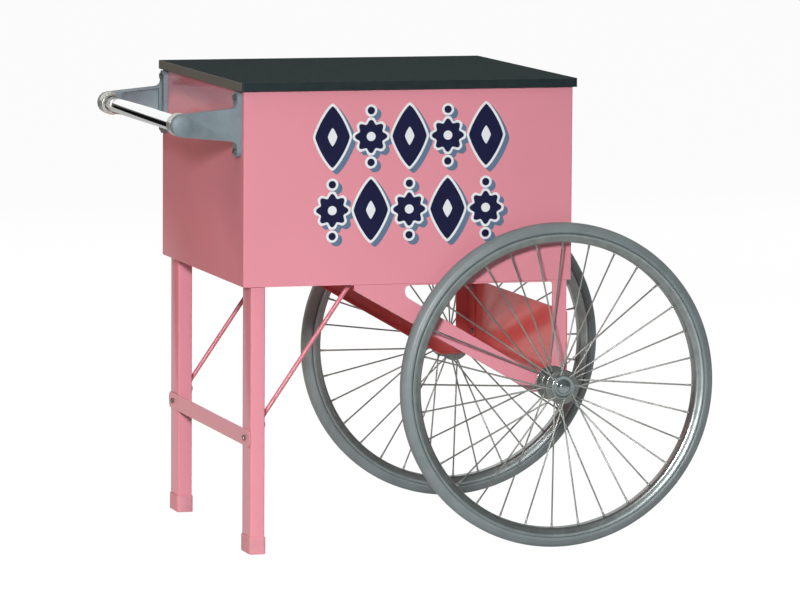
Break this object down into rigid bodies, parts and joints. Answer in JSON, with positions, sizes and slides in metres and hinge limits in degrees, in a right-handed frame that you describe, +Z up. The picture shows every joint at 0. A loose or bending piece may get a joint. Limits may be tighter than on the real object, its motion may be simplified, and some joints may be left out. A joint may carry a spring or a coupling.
{
  "type": "two-wheeled vending cart",
  "caption": "Push cart with a sheet steel cabinet, laminate counter, sliding doors, legs with a push bar at one end and laced wire wheels at the other.",
  "frame": {"origin": "on the floor, under the middle of the overall box", "axes": "+Z up; +X along the cart, from the push bar towards the wheels; +Y towards the side with the sliding doors, so the plain front is at -Y"},
  "size_m": [1.034, 0.788, 0.8758],
  "materials": {
    "pink_paint": "gloss",
    "black_laminate": "satin",
    "edge_band": "satin",
    "zinc_plate": "satin",
    "chrome_plate": "polished",
    "cast_aluminium": "satin",
    "pink_plastic": "matte",
    "grey_rubber": "matte",
    "bronze": "satin"
  },
  "bodies": {
    "root": {"cabinet_shell": "pink_paint", "cabinet_bottom_frame": "pink_paint", "cabinet_top_frame": "pink_paint", "cabinet_floor": "pink_paint", "counter_top": "black_laminate", "counter_edge_band": "edge_band", "lower_door_track": "zinc_plate", "upper_door_track": "zinc_plate", "leg_cross_brace": "pink_paint", "handle_bar": "chrome_plate", "axle_cross_panel": "pink_paint", "axle": "zinc_plate", "right_leg": "pink_paint", "right_leg_cap": "pink_plastic", "right_cross_brace_bolt": "zinc_plate", "right_diagonal_brace": "pink_paint", "right_diagonal_lower_bolt": "zinc_plate", "right_diagonal_upper_bolt": "zinc_plate", "right_handle_bracket": "cast_aluminium", "right_handle_upper_bolt": "zinc_plate", "right_handle_lower_bolt": "zinc_plate", "right_wheel_bracket": "pink_paint", "right_panel_upper_bolt": "zinc_plate", "right_panel_lower_bolt": "zinc_plate", "right_thrust_washer": "zinc_plate", "right_end_washer": "zinc_plate", "right_axle_nut": "zinc_plate", "left_leg": "pink_paint", "left_leg_cap": "pink_plastic", "left_cross_brace_bolt": "zinc_plate", "left_diagonal_brace": "pink_paint", "left_diagonal_lower_bolt": "zinc_plate", "left_diagonal_upper_bolt": "zinc_plate", "left_handle_bracket": "cast_aluminium", "left_handle_upper_bolt": "zinc_plate", "left_handle_lower_bolt": "zinc_plate", "left_wheel_bracket": "pink_paint", "left_panel_upper_bolt": "zinc_plate", "left_panel_lower_bolt": "zinc_plate", "left_thrust_washer": "zinc_plate", "left_end_washer": "zinc_plate", "left_axle_nut": "zinc_plate"},
    "right_wheel": {"right_tyre": "grey_rubber", "right_rim": "zinc_plate", "right_spoked_hub": "zinc_plate", "right_inner_bush": "bronze", "right_outer_bush": "bronze", "right_hub_cap": "chrome_plate"},
    "left_wheel": {"left_tyre": "grey_rubber", "left_rim": "zinc_plate", "left_spoked_hub": "zinc_plate", "left_inner_bush": "bronze", "left_outer_bush": "bronze", "left_hub_cap": "chrome_plate"},
    "handle_end_door_leaf": {"handle_end_door": "pink_paint", "handle_end_door_pull": "zinc_plate"},
    "wheel_end_door_leaf": {"wheel_end_door": "pink_paint", "wheel_end_door_pull": "zinc_plate"}
  },
  "joints": [
    {"name": "right_wheel_spin", "type": "hinge", "parent": "root", "child": "right_wheel", "pos_m": [0.212, -0.348, 0.305], "axis": [0, 1, 0], "continuous": true},
    {"name": "left_wheel_spin", "type": "hinge", "parent": "root", "child": "left_wheel", "pos_m": [0.212, 0.348, 0.305], "axis": [0, 1, 0], "continuous": true},
    {"name": "handle_end_door_slide", "type": "slide", "parent": "root", "child": "handle_end_door_leaf", "axis": [1, 0, 0], "range_m": [0, 0.262]},
    {"name": "wheel_end_door_slide", "type": "slide", "parent": "root", "child": "wheel_end_door_leaf", "axis": [-1, 0, 0], "range_m": [0, 0.262]}
  ]
}
